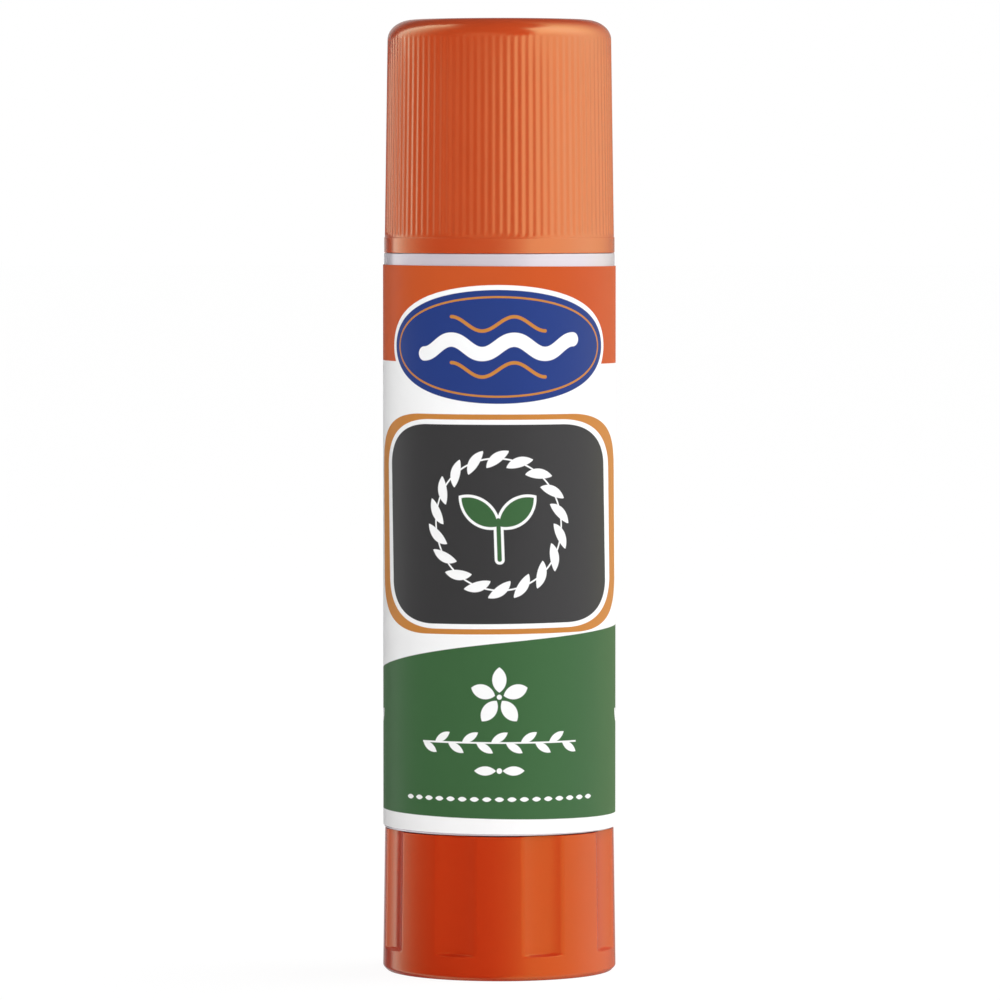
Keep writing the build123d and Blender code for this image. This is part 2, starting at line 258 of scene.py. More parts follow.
shoulder_turn = np.linspace(np.pi / 2, 0, 18)
shoulder = np.column_stack([
    shoulder_radius - shoulder_width + shoulder_width * np.cos(shoulder_turn),
    shoulder_z + shoulder_height * np.sin(shoulder_turn),
])
gate = rounded([
    (0, cap_top_z - gate_depth, 0),
    (gate_radius, cap_top_z - gate_depth, 0.1 * MM),
    (gate_radius, cap_top_z, 0.1 * MM),
    (shoulder[0, 0], cap_top_z, 0),
], steps=3)[:-1]
rib_heights = np.concatenate([
    np.linspace(shoulder_z, skirt_top_z + rib_end, 8)[1:],
    np.linspace(skirt_top_z + rib_end, skirt_top_z, 7)[1:-1],
])
ribs = np.column_stack([rib_low_radius - flank_slope * (rib_heights - skirt_top_z), rib_heights])
skirt = rounded([
    (*ribs[-1], 0),
    (rib_low_radius, skirt_top_z, 0.02 * MM),
    (cap_radius, skirt_top_z, 0.04 * MM),
    (cap_radius, cap_low_z, 0.07 * MM),
    (cap_bore + cap_lead_in, cap_low_z, 0),
])[1:-1]
seat_z = cap_low_z - cap_seam
cap_snap_z = seat_z + neck_bead_rise - cap_snap_depth
cap_snap_length = neck_bead_length + 2 * cap_snap_depth
cap_inside = rounded([
    (cap_radius - 0.3 * MM, cap_low_z, 0),
    (cap_bore + cap_lead_in, cap_low_z, 0.05 * MM),
    (cap_bore, cap_low_z + cap_lead_in, 0.1 * MM),
    (cap_bore, cap_snap_z, 0.05 * MM),
    (cap_bore + cap_snap_depth, cap_snap_z + cap_snap_depth, 0.05 * MM),
    (cap_bore + cap_snap_depth, cap_snap_z + cap_snap_length - cap_snap_depth, 0.05 * MM),
    (cap_bore, cap_snap_z + cap_snap_length, 0.05 * MM),
    (cap_bore, roof_z, 0.4 * MM),
    (plug_radius, roof_z, 0.3 * MM),
    (plug_radius, roof_z - plug_length, 0.25 * MM),
    (plug_radius - plug_wall, roof_z - plug_length, 0.15 * MM),
    (plug_radius - plug_wall, roof_z, 0.3 * MM),
    (0, roof_z, 0),
], steps=3)[1:]
cap_outline = np.concatenate([gate, shoulder, ribs, skirt, cap_inside])
cap_angles = even_angles(rib_count * rib_columns)
across_rib = (cap_angles * rib_count / np.pi + 1) % 2 - 1
groove = rib_depth * (0.5 - 0.5 * np.cos(np.pi * across_rib))
row = np.arange(len(cap_outline))
fade = smooth_step(cap_outline[:, 1], skirt_top_z, skirt_top_z + rib_end)
fade *= 1 - smooth_step(cap_outline[:, 1], shoulder_z - rib_end, shoulder_z + rib_top_rise)
fade *= (row >= len(gate)) & (row < len(gate) + len(shoulder) + len(ribs))
cap_grid_radius = cap_outline[:, :1] - fade[:, None] * groove
cap = skin("cap_shell", turned(cap_grid_radius, cap_outline[:, 1], cap_angles))
measure(cap, "cap")

# %% [markdown]
# ## Knob
#
# The knob is a plain moulded cup with a little draft. Eight wide, shallow flutes give the
# fingers a hold. Each is a slice of a large cylinder, so its radius at an angle is where a ray
# from the axis meets that cylinder, and it ends below in a low ledge above the foot. Taking the
# lower of the two surfaces, with a soft changeover, leaves the flutes' edges slightly rounded as
# a mould leaves them.

# %% Knob: driving sizes
knob_height = 12.66 * MM
knob_draft = 0.19 * MM
knob_wall = 1.3 * MM
foot_chamfer = 0.4 * MM
rim_width = 1.5 * MM
recess_depth = 0.6 * MM
knob_floor = 1.8 * MM
flute_count = 8
flute_width = 3.7 * MM
flute_depth = 0.45 * MM
flute_ledge = 2.05 * MM
flute_ledge_round = 0.28 * MM
flute_edge_round = 0.14 * MM
flute_edge_turn = math.radians(10.4)
flute_edge_span = math.radians(1.8)
hub_radius = 3.4 * MM
shank_across_flats = 3.36 * MM
shank_foot = 4.4 * MM
groove_rise = 2.68 * MM
groove_depth = 0.32 * MM
groove_length = 1.94 * MM

# %% Knob: surface
knob_top_radius = knob_radius - knob_draft


def knob_flank(height):
    """The knob's radius at a height, without its flutes: a straight taper."""
    return knob_radius - knob_draft * height / knob_height


def flute_surface(height, angles):
    """Distance from the axis to the flute's cylinder: c cos a - sqrt(R^2 - c^2 sin^2 a).

    R is the cylinder's radius, c the distance of its centre line, which leans with the flank,
    and a the ray's angle from the middle of the flute.
    """
    half_width = flute_width / 2
    flank_bow = knob_top_radius - math.sqrt(knob_top_radius**2 - half_width**2)
    bite = flute_depth - flank_bow
    radius = (half_width**2 + bite**2) / (2 * bite)
    centre = knob_flank(height) + radius - flute_depth
    step = 2 * np.pi / flute_count
    from_middle = angles % step - step / 2
    inside = radius**2 - (centre * np.sin(from_middle)) ** 2
    ray = centre * np.cos(from_middle) - np.sqrt(np.clip(inside, 0, None))
    return np.where(inside > 0, ray, 1.0)


flank_heights = np.concatenate([
    np.linspace(knob_height - 0.4 * MM, flute_ledge + 0.5 * MM, 10),
    np.linspace(flute_ledge + flute_ledge_round, flute_ledge, 9),
    np.linspace(flute_ledge - 0.1 * MM, foot_chamfer + 0.5 * MM, 5),
])
knob_bore = knob_top_radius - knob_wall
snap_z = knob_floor + groove_rise
knob_outline = rounded([
    (0, shank_foot, 0),
    (shank_across_flats / 2, shank_foot, 0.05 * MM),
    (shank_across_flats / 2, knob_hub_z, 0.1 * MM),
    (hub_radius, knob_hub_z, 0.15 * MM),
    (hub_radius, knob_floor, 0.3 * MM),
    (knob_bore, knob_floor, 0.3 * MM),
    (knob_bore, snap_z, 0.1 * MM),
    (knob_bore + groove_depth, snap_z + groove_depth, 0.1 * MM),
    (knob_bore + groove_depth, snap_z + groove_length - groove_depth, 0.1 * MM),
    (knob_bore, snap_z + groove_length, 0.1 * MM),
    (knob_bore, knob_height, 0.15 * MM),
    (knob_top_radius, knob_height, 0.12 * MM),
    *((knob_flank(z), z, 0) for z in flank_heights),
    (knob_flank(foot_chamfer), foot_chamfer, 0.35 * MM),
    (knob_radius - foot_chamfer, knob_foot_z, 0.3 * MM),
    (knob_radius - foot_chamfer - rim_width, knob_foot_z, 0.1 * MM),
    (knob_radius - foot_chamfer - rim_width, recess_depth, 0.15 * MM),
    (0, recess_depth, 0),
])
half_step = np.pi / flute_count
edge_low, edge_high = flute_edge_turn - flute_edge_span, flute_edge_turn + flute_edge_span
one_flute = np.concatenate([
    np.linspace(start, end, columns, endpoint=False)
    for start, end, columns in [
        (-half_step, -edge_high, 6),
        (-edge_high, -edge_low, 14),
        (-edge_low, edge_low, 14),
        (edge_low, edge_high, 14),
        (edge_high, half_step, 6),
    ]
])
flute_middles = even_angles(flute_count) + half_step
knob_angles = (flute_middles[:, None] + one_flute).ravel()
knob_grid_radius = np.repeat(knob_outline[:, :1], len(knob_angles), 1)
height = knob_outline[:, 1:]
fluted = smooth_min(knob_grid_radius, flute_surface(height, knob_angles), flute_edge_round)
is_flank = (knob_outline[:, :1] > knob_bore + knob_wall / 2) & (height > flute_ledge - 0.2 * MM)
share = smooth_step(height, flute_ledge, flute_ledge + flute_ledge_round) * is_flank
knob_grid_radius += share * (fluted - knob_grid_radius)
sixth = np.pi / 3
hexagon = 1 / np.cos((knob_angles + sixth / 2) % sixth - sixth / 2)
is_socket = (knob_outline[:, :1] < shank_across_flats / 2 + 0.11 * MM) & (height > knob_floor)
knob_grid_radius *= np.where(is_socket, hexagon, 1)
knob = skin("knob_shell", turned(knob_grid_radius, knob_outline[:, 1], knob_angles))
measure(knob, "knob")

# %% [markdown]
# ## Webs inside the knob
#
# Four upright webs brace the hub against the knob's wall. Each is a thin plate with all its
# edges soft: a rounded rectangle, swept from one end to the other while its outline shrinks a
# little at both ends. They stand in the spigot's hollow, so they show only when the knob is
# looked at by itself.

# %% Webs: surface
web_count = 4
web_height = 6.0 * MM
web_thickness = 0.8 * MM
web_outer_radius = 6.97 * MM
web_sunk = 0.5 * MM
web_edge_round = 0.12 * MM
web_ring_points = 48


def about_axis(angle):
    """Matrix that turns row vectors about the upright axis."""
    return np.array([
        [math.cos(angle), math.sin(angle), 0],
        [-math.sin(angle), math.cos(angle), 0],
        [0, 0, 1],
    ])


def radial_plate(inner, outer, thickness, low_z, high_z):
    """Grid of an upright plate along +X, with the outline x^8 + y^8 = 1 across and upwards.

    Towards both ends the outline draws in by a quarter circle of the edge's rounding, and a
    last row on the plate's middle line closes it.
    """
    ring = even_angles(web_ring_points)
    across = -np.sign(np.cos(ring)) * np.abs(np.cos(ring)) ** 0.25
    up = np.sign(np.sin(ring)) * np.abs(np.sin(ring)) ** 0.25
    bend = np.linspace(0, np.pi / 2, 4)
    drawn_in = web_edge_round * (1 - np.sin(bend))
    ends = web_edge_round * (1 - np.cos(bend))
    along = np.concatenate([[inner], inner + ends, outer - ends[::-1], [outer]])[:, None]
    drawn_in = np.concatenate([[thickness / 2], drawn_in, drawn_in[::-1], [thickness / 2]])[:, None]
    half_height = np.where(drawn_in < thickness / 2, (high_z - low_z) / 2 - drawn_in, 0)
    y = across * (thickness / 2 - drawn_in)
    z = (low_z + high_z) / 2 + up * half_height
    return np.stack(np.broadcast_arrays(along, y, z), 2)


web = radial_plate(
    hub_radius - web_sunk,
    web_outer_radius,
    web_thickness,
    knob_floor - web_sunk,
    knob_floor + web_height,
)
webs = skin("knob_webs", np.stack([web @ about_axis(turn) for turn in even_angles(web_count)]))
measure(webs, "knob")

# %% [markdown]
# ## Barrel
#
# The white tube shows as a thin ring between cap and label, and its neck and mouth show when
# the cap is off. It is one closed ring of outline: down the neck with its snap bead, out over
# the seat, down the body, in to the spigot that clips into the knob, and up the bore. Four
# straight keys stand in the bore and stop the carriage from turning with the screw.

# %% Barrel: driving sizes
label_foot_margin = 0.15 * MM
barrel_edge_round = 0.07 * MM
mouth_chamfer = 0.3 * MM
neck_clearance = 0.12 * MM
neck_bead_height = 0.08 * MM
spigot_radius = 8.67 * MM
spigot_wall = 1.2 * MM
spigot_bead = 0.35 * MM
spigot_bead_rise = 2.4 * MM
spigot_bead_length = 1.7 * MM
floor_low_rise = 0.85 * MM
floor_thickness = 1.4 * MM
journal_hole = 2.26 * MM
key_count = 4
key_width = 1.2 * MM
key_depth = 0.4 * MM
key_edge = 0.1 * MM
key_mouth_gap = 1.0 * MM
barrel_columns = 384


def key_bump(angles, radius, width):
    """1 over each key's width, measured along the arc, falling to 0 over a short edge."""
    step = 2 * np.pi / key_count
    from_key = np.abs((angles + step / 2) % step - step / 2) * radius
    return 1 - smooth_step(from_key, (width - key_edge) / 2, (width + key_edge) / 2)


# %% Barrel: surface
barrel_foot_z = label_low_z - label_foot_margin
neck_radius = cap_bore - neck_clearance
bead_low_z = seat_z + neck_bead_rise
bead_high_z = bead_low_z + neck_bead_length
clip_low_z = spigot_low_z + spigot_bead_rise
clip_high_z = clip_low_z + spigot_bead_length
floor_low_z = barrel_foot_z + floor_low_rise
floor_high_z = floor_low_z + floor_thickness
key_top_z = mouth_z - key_mouth_gap
barrel_outline = rounded([
    (barrel_bore + mouth_chamfer, mouth_z, 0.15 * MM),
    (neck_radius - mouth_chamfer, mouth_z, 0.15 * MM),
    (neck_radius, mouth_z - mouth_chamfer, 0.2 * MM),
    (neck_radius, bead_high_z, 0.1 * MM),
    (neck_radius + neck_bead_height, bead_high_z - neck_bead_height, 0.1 * MM),
    (neck_radius + neck_bead_height, bead_low_z + neck_bead_height, 0.1 * MM),
    (neck_radius, bead_low_z, 0.1 * MM),
    (neck_radius, seat_z, 0.15 * MM),
    (barrel_radius, seat_z, barrel_edge_round),
    (barrel_radius, barrel_foot_z, barrel_edge_round),
    (spigot_radius, barrel_foot_z, 0.15 * MM),
    (spigot_radius, clip_high_z, 0.1 * MM),
    (spigot_radius + spigot_bead, clip_high_z - spigot_bead, 0.1 * MM),
    (spigot_radius + spigot_bead, clip_low_z + spigot_bead, 0.1 * MM),
    (spigot_radius, clip_low_z, 0.1 * MM),
    (spigot_radius, spigot_low_z + spigot_bead, 0.1 * MM),
    (spigot_radius - spigot_bead, spigot_low_z, 0.1 * MM),
    (spigot_radius - spigot_wall, spigot_low_z, 0.1 * MM),
    (spigot_radius - spigot_wall, floor_low_z, 0.3 * MM),
    (journal_hole, floor_low_z, 0.1 * MM),
    (journal_hole, floor_high_z, 0.1 * MM),
    (barrel_bore, floor_high_z, 0.3 * MM),
    (barrel_bore, key_top_z - key_edge, 0),
    (barrel_bore, key_top_z, 0),
    (barrel_bore, mouth_z - mouth_chamfer, 0.15 * MM),
], closed=True)
barrel_angles = even_angles(barrel_columns)
barrel_heights = barrel_outline[:, 1]
has_key = np.abs(barrel_outline[:, 0] - barrel_bore) < 0.2 * MM
has_key &= (barrel_heights > floor_high_z) & (barrel_heights < key_top_z)
keys = has_key[:, None] * key_depth * key_bump(barrel_angles, barrel_bore, key_width)
barrel_grid = turned(barrel_outline[:, :1] - keys, barrel_heights, barrel_angles)
barrel = skin("barrel_tube", barrel_grid, ring=True)
measure(barrel, "barrel")

# %% [markdown]
# ## Label film
#
# The label is one turn of thin printed film. Where it closes at the back, its outer end lies
# over the inner one: a small step on one side, where the film's edge stands, and a ramp on the
# other, where it runs down over the layer beneath. A machine never lays it on quite straight,
# so the whole film leans by a third of a degree.

# %% Label: driving sizes
film_thickness = 0.1 * MM
film_edge_round = 0.025 * MM
film_lean = 0.0056
lap_length = 4.0 * MM
lap_ramp = 1.0 * MM
lap_step = 0.05 * MM
label_columns = 420

# %% Label: surface
film_radius = barrel_radius + film_thickness
lap_start = np.pi / 2 - lap_length / film_radius / 2
along_film = np.concatenate([
    np.linspace(0, lap_step, 5, endpoint=False),
    np.linspace(lap_step, lap_length, 20, endpoint=False),
    np.linspace(lap_length, lap_length + lap_ramp, 16, endpoint=False),
    np.linspace(lap_length + lap_ramp, 2 * np.pi * film_radius, label_columns, endpoint=False),
])
film_angles = lap_start + along_film / film_radius
layers = 1 + smooth_step(along_film, 0, lap_step)
layers -= smooth_step(along_film, lap_length, lap_length + lap_ramp)
film_section = rounded([
    (film_thickness, label_top_z, film_edge_round),
    (film_thickness, label_low_z, film_edge_round),
    (0, label_low_z, film_edge_round),
    (0, label_top_z, film_edge_round),
], closed=True)
film_grid = turned(barrel_radius + film_section[:, :1] * layers, film_section[:, 1], film_angles)
film_grid[:, :, 2] -= film_lean * film_grid[:, :, 0]
label = skin("label_wrap", film_grid, ring=True)
measure(label, "label")

# %% [markdown]
# ## Glue
#
# The glue is cast into the barrel and its cup, so it carries grooves from the four keys and has
# a narrower foot inside the cup. The free end shrinks a little as it sets: a soft rim round a
# very slightly sunken top. The blind hole below is where the screw goes up into it.

# %% Glue: driving sizes and surface
glue_rim_round = 0.6 * MM
glue_dish = 0.18 * MM
glue_foot_radius = 6.4 * MM
glue_step_z = 32.5 * MM
glue_hole_radius = 2.95 * MM
glue_hole_top_z = 74.0 * MM
glue_groove_width = 1.4 * MM

dish = np.linspace(0, 1, 9)
dish_rows = np.column_stack([
    dish * (glue_radius - glue_rim_round - 2 * HOLD),
    glue_top_z - glue_dish * (1 - dish**2) ** 2,
])
glue_outline = rounded([
    *((r, z, 0) for r, z in dish_rows),
    (glue_radius, glue_top_z, glue_rim_round),
    (glue_radius, glue_step_z, 0.1 * MM),
    (glue_foot_radius, glue_step_z, 0.1 * MM),
    (glue_foot_radius, glue_low_z, 0.2 * MM),
    (glue_hole_radius, glue_low_z, 0.1 * MM),
    (glue_hole_radius, glue_hole_top_z, 0.3 * MM),
    (0, glue_hole_top_z, 0),
])
glue_radii, glue_heights = glue_outline[:, :1], glue_outline[:, 1:]
in_bore = (glue_radii > glue_foot_radius + key_depth) & (glue_heights >= glue_step_z - HOLD)
key_floor = glue_radius - key_depth * key_bump(barrel_angles, glue_radius, glue_groove_width)
glue_grid_radius = np.where(in_bore, np.minimum(glue_radii, key_floor), glue_radii)
glue = skin("glue_cast", turned(glue_grid_radius, glue_outline[:, 1], barrel_angles))
measure(glue, "glue")


# %% [markdown]
# ## Material tools
#
# A printed label is easiest to describe as a drawing worked out from the place on the film, and
# that takes a lot of arithmetic. Nodes written one by one would hide it, so a small class wraps
# a node's output and lets ordinary operators add the Math nodes. Everything else goes through
# one method that adds a node of any kind.

# %% A node's output with arithmetic
class Wire:
    """One output of a node. Operators on it add Math nodes, or Vector Math nodes for vectors."""

    def __init__(self, socket):
        self.socket = socket

    def node(self, kind, inputs, output=0, **settings):
        """Adds a node of any kind: first its settings, then its inputs' values or links."""
        made = self.socket.id_data.nodes.new(kind)
        for name, value in settings.items():
            setattr(made, name, value)
        for name, value in inputs.items():
            feed(made.inputs[name], value)
        return Wire(made.outputs[output])

    def math(self, operation, *values):
        """A Math node on the values, or a Vector Math node where one of them is a vector."""
        kinds = [value.socket.type if isinstance(value, Wire) else type(value) for value in values]
        is_vector = not {"VECTOR", "RGBA", tuple}.isdisjoint(kinds)
        kind = "ShaderNodeVectorMath" if is_vector else "ShaderNodeMath"
        return self.node(kind, dict(enumerate(values)), operation=operation)

    def __add__(self, other):
        return self.math("ADD", self, other)

    def __radd__(self, other):
        return self.math("ADD", other, self)

    def __sub__(self, other):
        return self.math("SUBTRACT", self, other)

    def __rsub__(self, other):
        return self.math("SUBTRACT", other, self)

    def __mul__(self, other):
        return self.math("MULTIPLY", self, other)

    def __rmul__(self, other):
        return self.math("MULTIPLY", other, self)

    def __truediv__(self, other):
        return self.math("DIVIDE", self, other)

    def __rtruediv__(self, other):
        return self.math("DIVIDE", other, self)

    def __pow__(self, other):
        return self.math("POWER", self, other)

    def __abs__(self):
        return self.math("ABSOLUTE", self)

    def __neg__(self):
        return self.math("MULTIPLY", self, -1)

    def low(self, other):
        return self.math("MINIMUM", self, other)

    def high(self, other):
        return self.math("MAXIMUM", self, other)

    def root(self):
        return self.math("SQRT", self)

    def sin(self):
        return self.math("SINE", self)

    def cos(self):
        return self.math("COSINE", self)

    def fold(self, period):
        """Signed distance to the nearest whole multiple of the period."""
        return self.math("WRAP", self, period / 2, -period / 2)

    def clip(self):
        """The value kept between 0 and 1."""
        return self.node("ShaderNodeClamp", {0: self, 1: 0.0, 2: 1.0})

    def ramp(self, start, end, low=0.0, high=1.0):
        """Smooth change from low to high while the value goes from start to end."""
        bounds = {0: self, 1: start, 2: end, 3: low, 4: high}
        return self.node("ShaderNodeMapRange", bounds, interpolation_type="SMOOTHSTEP")

    def over(self, top, under):
        """The top colour where this mask is 1, and the one under it where it is 0."""
        return self.node("ShaderNodeMix", {0: self, 6: under, 7: top}, output=2, data_type="RGBA")

    def noise(self, scale, detail):
        """Noise from 0 to 1 over this vector."""
        inputs = {"Vector": self, "Scale": scale, "Detail": detail}
        return self.node("ShaderNodeTexNoise", inputs)

    def axes(self):
        """The three parts of this vector."""
        split = self.node("ShaderNodeSeparateXYZ", {0: self}).socket.node
        return [Wire(output) for output in split.outputs]


def feed(socket, value):
    """Links a wire to a socket, or sets its constant; one number fills all parts of a vector."""
    if isinstance(value, Wire):
        socket.id_data.links.new(value.socket, socket)
    elif socket.type == "RGBA":
        socket.default_value = (*value, 1)
    elif socket.type == "VECTOR":
        socket.default_value = np.broadcast_to(value, 3)
    else:
        socket.default_value = value


WHITE = (1.0, 1.0, 1.0)
SCATTER = (1.0, 0.95, 0.85)
RIB_DULLNESS = 0.05


def material(name):
    """A new material, its shader, and its place on the object in millimetres."""
    made = bpy.data.materials.new(name)
    made.use_nodes = True
    shader = made.node_tree.nodes["Principled BSDF"]
    place = Wire(made.node_tree.nodes.new("ShaderNodeTexCoord").outputs["Object"])
    return made, shader, place * (1 / MM)


def skin_bump(waves):
    """A Bump node over a height in millimetres."""
    return waves.node("ShaderNodeBump", {"Height": waves, "Distance": MM, "Strength": 1.0})


def moulded(name, colour, roughness, grain, ior=1.49, tint=WHITE, subsurface=0.0, ribbed=None):
    """A moulded plastic: its colour clouds, its gloss varies, and its skin is not quite flat.

    With ribbed, a pair of heights in millimetres, the skin between them is a little duller.
    """
    made, shader, place = material(name)
    if ribbed:
        height = place.axes()[2]
        foot, top = ribbed
        is_ribbed = height.ramp(foot - 0.2, foot) * height.ramp(top + 1, top - 3)
        roughness = roughness + RIB_DULLNESS * is_ribbed
    cloud = place.noise(0.35, 3.0)
    speck = place.noise(9.0, 2.0)
    tone = 0.96 + cloud * 0.05 + speck * 0.03
    feed(shader.inputs["Base Color"], tone * colour)
    feed(shader.inputs["Roughness"], roughness - 0.03 + cloud * 0.04 + speck * 0.03)
    feed(shader.inputs["IOR"], ior)
    feed(shader.inputs["Specular Tint"], tint)
    feed(shader.inputs["Subsurface Weight"], subsurface)
    feed(shader.inputs["Subsurface Radius"], SCATTER)
    feed(shader.inputs["Subsurface Scale"], MM)
    waves = place.noise(0.28, 1.0) * 0.02 + place.noise(2.2, 2.0) * grain
    feed(shader.inputs["Normal"], skin_bump(waves))
    return made


# %% [markdown]
# ## Plastics and glue
#
# The cap, the knob and the barrel are moulded in coloured plastic. The knob's orange is a
# shade redder than the cap's. Plastic like this isn't perfectly even: the pigment clouds a
# little, the mould leaves the surface a touch wavy, and the gloss changes from place to place.
# The barrel and the glue let some light in, which softens their shadows.

# %% Plastics and glue
CAP_ORANGE = (0.515, 0.057, 0.013)
KNOB_ORANGE = (0.505, 0.029, 0.0055)
BARREL_WHITE = (0.585, 0.535, 0.585)
SCREW_WHITE = (0.66, 0.65, 0.63)
CARRIAGE_WHITE = (0.68, 0.67, 0.65)
GLUE_CREAM = (0.76, 0.74, 0.68)
CAP_SHEEN = (1.0, 1.0, 0.45)
KNOB_SHEEN = (0.85, 1.0, 0.22)

rib_span = (skirt_top_z / MM, shoulder_z / MM)
cap_plastic = moulded("cap_orange", CAP_ORANGE, 0.19, 0.0008, 1.80, CAP_SHEEN, ribbed=rib_span)
knob_plastic = moulded("knob_orange", KNOB_ORANGE, 0.22, 0.0006, 1.47, KNOB_SHEEN)
barrel_plastic = moulded("barrel_white", BARREL_WHITE, 0.24, 0.0006, 1.8, subsurface=0.1)
screw_plastic = moulded("spindle_white", SCREW_WHITE, 0.35, 0.0012)
carriage_plastic = moulded("carriage_white", CARRIAGE_WHITE, 0.38, 0.0012)
glue_cast = moulded("glue_cream", GLUE_CREAM, 0.42, 0.004, subsurface=0.6)

# %% [markdown]
# ## Printed label
#
# The film is white, printed with an orange band at the top, a green field below whose upper
# edge rises towards the front, and a charcoal panel framed by an orange line between them. The
# motifs are plain ones of my own: a wavy line of glue between two thin ones on a blue oval, a
# wreath of leaves round a sprout, and below them a flower, a vine, a pair of leaves and a row of
# seeds. A row of sprouts goes round the back. Nothing on it is a word or a mark.
#
# Each shape is a signed distance in millimetres: below 0 inside it, above 0 outside. A mask is
# then 0.5 - distance / edge, kept between 0 and 1, so every edge stays sharp at any size. The
# artwork is laid out flat, with lengths measured round the film, and so it wraps as print does.
# The frame's sides lie 80 degrees round, where the front view makes them look narrow. They are
# therefore four times as wide on the film as the frame's top, and the corners are stretched too.

# %% Label: shapes as distances
INK_EDGE = 0.05


def inside(distance):
    """Mask of a shape from its signed distance, with an edge a twentieth of a millimetre wide."""
    return (0.5 - distance / INK_EDGE).clip()


def length(x, z):
    """sqrt(x^2 + z^2)"""
    return (x * x + z * z).root()


def rounded_box(x, z, half_width, half_height, corner):
    """Distance to a box with round corners: |outside| + the larger inside one - the corner."""
    over_x, over_z = abs(x) - (half_width - corner), abs(z) - (half_height - corner)
    return length(over_x.high(0.0), over_z.high(0.0)) + over_x.high(over_z).low(0.0) - corner


def soft_box(x, z, half_width, half_height, corner, flatness):
    """A box whose corners are ellipses, with heights stretched before the distance is taken.

    The corner is the ellipse's half width, and flatness its height over its width.
    """
    return rounded_box(x, z / flatness, half_width, half_height / flatness, corner)


def ellipse(x, z, half_width, half_height):
    """Nearly the distance to an ellipse: k(k - 1) / |(x/a^2, z/b^2)|, with k = |(x/a, z/b)|."""
    k = length(x / half_width, z / half_height)
    return k * (k - 1) / length(x / half_width**2, z / half_height**2).high(0.001)


def leaf(along, across, half_length, half_width):
    """Distance to a pointed oval, where two equal circles overlap: |(u, |v| + h)| - R."""
    sunk = (half_length**2 - half_width**2) / (2 * half_width)
    return length(along, abs(across) + sunk) - (sunk + half_width)


def squeezed(x, z, half_length, swing, half_waves, half_width):
    """Distance to a wavy line with round ends: |z - f(x)| / sqrt(1 + f'(x)^2), less its half width.

    The wave f is swing * sin, and it ends on crests, so its line is level where the ends begin.
    """
    pace = half_waves * math.pi / 2 / half_length
    held = x.high(-half_length).low(half_length)
    slope = ((held * pace).cos() * (swing * pace)) ** 2 + 1
    return length((z - (held * pace).sin() * swing) / slope.root(), x - held) - half_width


def turned_by(x, z, degrees):
    """The same point seen from axes turned by an angle."""
    c, s = math.cos(math.radians(degrees)), math.sin(math.radians(degrees))
    return x * c + z * s, z * c - x * s


def sprout(x, z, size):
    """Distance to a stem with a pair of leaves that lean outwards from its top."""
    side = abs(x)
    u, v = turned_by(side - 0.86 * size, z - 0.72 * size, 38)
    blade = leaf(u, v, 1.05 * size, 0.50 * size)
    stem = rounded_box(x, z + 0.55 * size, 0.10 * size, 1.0 * size, 0.09 * size)
    return blade.low(stem)


# %% Label: print
ORANGE_INK = (0.55, 0.088, 0.019)
BLUE_INK = (0.020, 0.045, 0.205)
GREEN_INK = (0.047, 0.125, 0.047)
CHARCOAL_INK = (0.042, 0.041, 0.042)
KEYLINE_INK = (0.55, 0.22, 0.048)
FILM_WHITE = (0.92, 0.92, 0.92)

label_film, film_shader, film_place = material("label_print")
film_x, film_y, film_z = film_place.axes()
film_radius_mm = label_radius / MM
side = film_x / film_radius_mm
front = film_y / -film_radius_mm
round_film = film_x.math("ARCTAN2", film_x, film_y * -1)
round_x = round_film * film_radius_mm

BAND_FOOT_Z = 53.92
BADGE_Z = 55.4
PANEL_Z = 39.95
PANEL_TILT = 0.035
WREATH_RADIUS = 5.75
WREATH_LEAVES = 18
GREEN_TOP_Z = 28.74
GREEN_FOOT_Z = 14.24
POSY_Z = 24.9
PETALS = 5
VINE_Z = 20.9
VINE_STEP = 2.6
BOW_Z = 18.45
SEEDS_Z = 15.95
SEED_STEP = 1.1
BACK_ROW_Z = 22.0
BACK_ROW_STEP = math.radians(30)
BACK_ROW_START = math.radians(78)

badge_x, badge_z = round_x + 0.1, film_z - BADGE_Z
badge = ellipse(badge_x, badge_z, 10.9, 4.95)
bead = squeezed(badge_x, badge_z, 7.0, 0.62, 5, 0.62)
thread_over = squeezed(badge_x, badge_z - 2.0, 4.2, 0.62, 3, 0.15)
thread_under = squeezed(badge_x, badge_z + 2.0, 4.2, 0.62, 3, 0.15)

panel_x = round_x + (film_z - 40) * PANEL_TILT + 0.08
panel_z = film_z - PANEL_Z + film_x * (film_z - 49) * 0.00055
frame_rim = soft_box(panel_x, panel_z, 14.36, 9.575, 7.2, 0.64)
frame_gap = soft_box(panel_x, panel_z, 12.5, 9.11, 6.4, 0.67)
frame_line = frame_rim.high(-frame_gap)
panel = soft_box(panel_x + 0.1, panel_z, 11.59, 8.68, 5.3, 0.68)

from_middle = length(panel_x, panel_z)
leaf_turn = panel_x.math("ARCTAN2", panel_x, panel_z).fold(2 * math.pi / WREATH_LEAVES)
from_ring = from_middle - WREATH_RADIUS
wreath = leaf(*turned_by(leaf_turn * WREATH_RADIUS, from_ring, 36), 1.28, 0.44)
wreath = wreath.low(abs(from_ring) - 0.07)
shoot = sprout(panel_x, panel_z + 0.3, 1.9)

green_top = GREEN_TOP_Z + side * 1.93 + front * 0.87 - side * front * 0.85
green_foot = GREEN_FOOT_Z - side * 0.185
green = (film_z - green_top).high(green_foot - film_z)

posy_z = film_z - POSY_Z
from_posy = length(round_x, posy_z)
petal_turn = round_x.math("ARCTAN2", round_x, posy_z).fold(2 * math.pi / PETALS)
posy = leaf(petal_turn.cos() * from_posy - 1.5, petal_turn.sin() * from_posy, 1.1, 0.62)
posy = posy.low(from_posy - 0.22)

